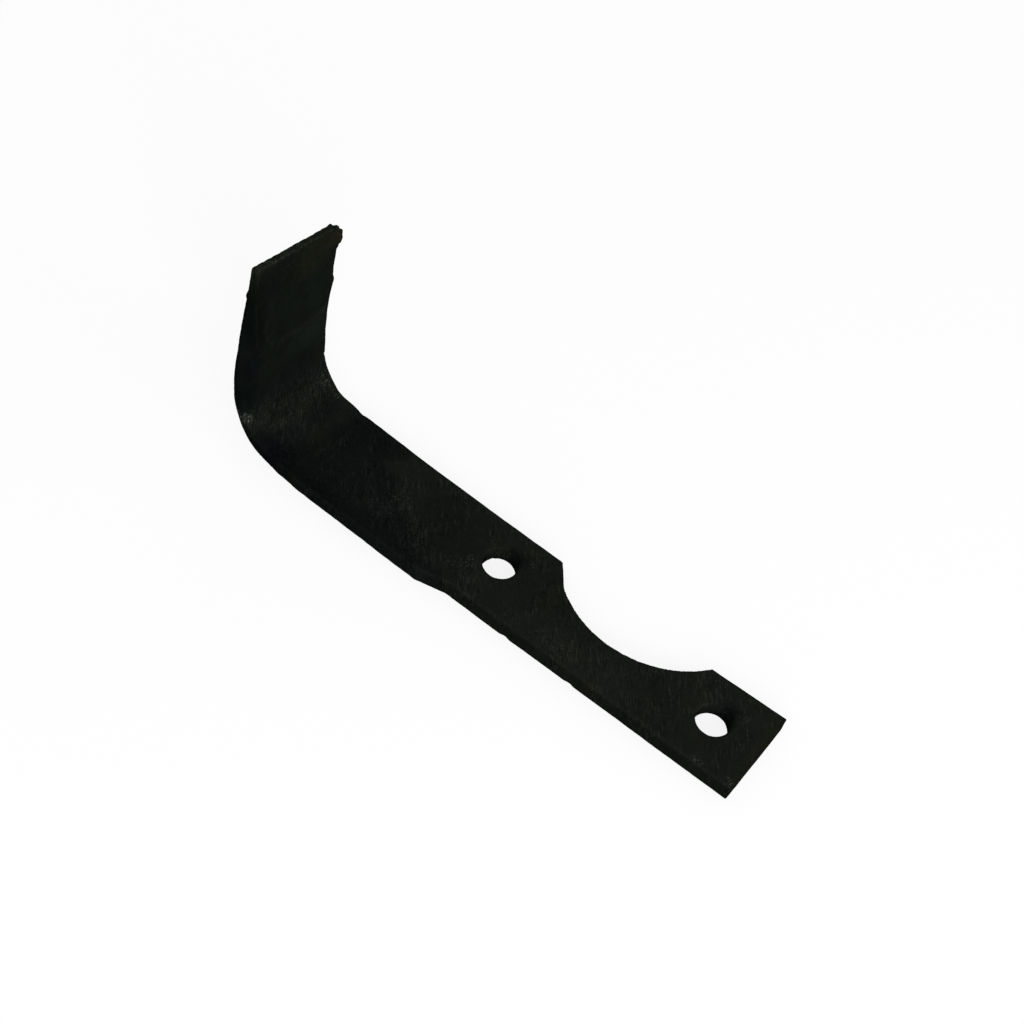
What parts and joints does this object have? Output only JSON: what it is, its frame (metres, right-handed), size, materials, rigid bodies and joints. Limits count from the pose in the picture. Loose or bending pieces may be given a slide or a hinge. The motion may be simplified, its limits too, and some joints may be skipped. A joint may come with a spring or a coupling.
{
  "type": "rotary tiller blade",
  "caption": "Forged steel tiller blade: flat two-hole shank with a round notch for the rotor tube, bent up into a thin sharpened cutting wing.",
  "frame": {"origin": "midway between the two bolt holes, on the underside of the shank", "axes": "+X along the shank from the square end towards the wing, +Y towards the cutting side away from the notch, +Z out of the face that the wing rises from"},
  "size_m": [0.2105, 0.049, 0.1164],
  "materials": {
    "forged_steel": "near-black forging scale, mottled and pitted, with worn edges and rust at the tip"
  },
  "bodies": {
    "root": {"tiller_blade": "forged_steel"}
  },
  "joints": []
}
